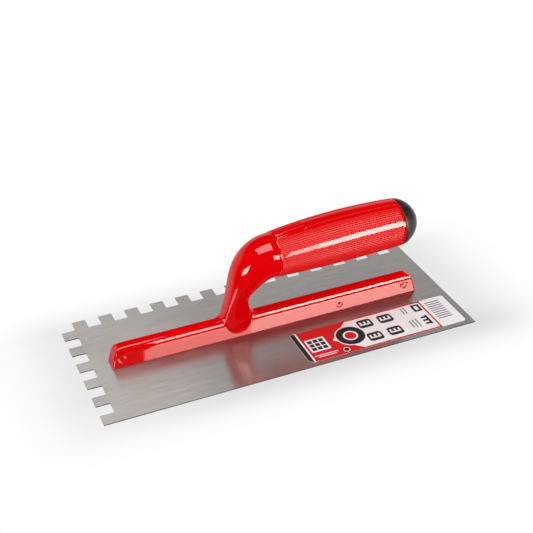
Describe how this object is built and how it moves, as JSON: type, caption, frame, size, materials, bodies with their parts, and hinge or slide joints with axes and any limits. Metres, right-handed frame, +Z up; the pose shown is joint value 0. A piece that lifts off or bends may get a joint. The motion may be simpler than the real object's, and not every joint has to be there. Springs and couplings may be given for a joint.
{
  "type": "notched trowel",
  "caption": "Rigid hand trowel: a rectangular steel blade with square notches on a short and a long side, under a plastic rail, gooseneck and ribbed grip.",
  "frame": {"origin": "centre of the blade's underside", "axes": "+X towards the plain short side under the butt of the grip, +Y towards the toothed long side, +Z up through the handle"},
  "size_m": [0.28, 0.12, 0.0806],
  "materials": {
    "blade_steel": "brushed lengthwise",
    "handle_red": "gloss",
    "grip_red": "gloss, ribbed",
    "cap_black": "satin",
    "rivet_steel": "ground flush",
    "label_print": "printed film"
  },
  "bodies": {
    "root": {"blade": "blade_steel", "handle_body": "handle_red", "grip_sleeve": "grip_red", "end_cap": "cap_black", "blade_rivets": "rivet_steel", "label": "label_print"}
  },
  "joints": []
}
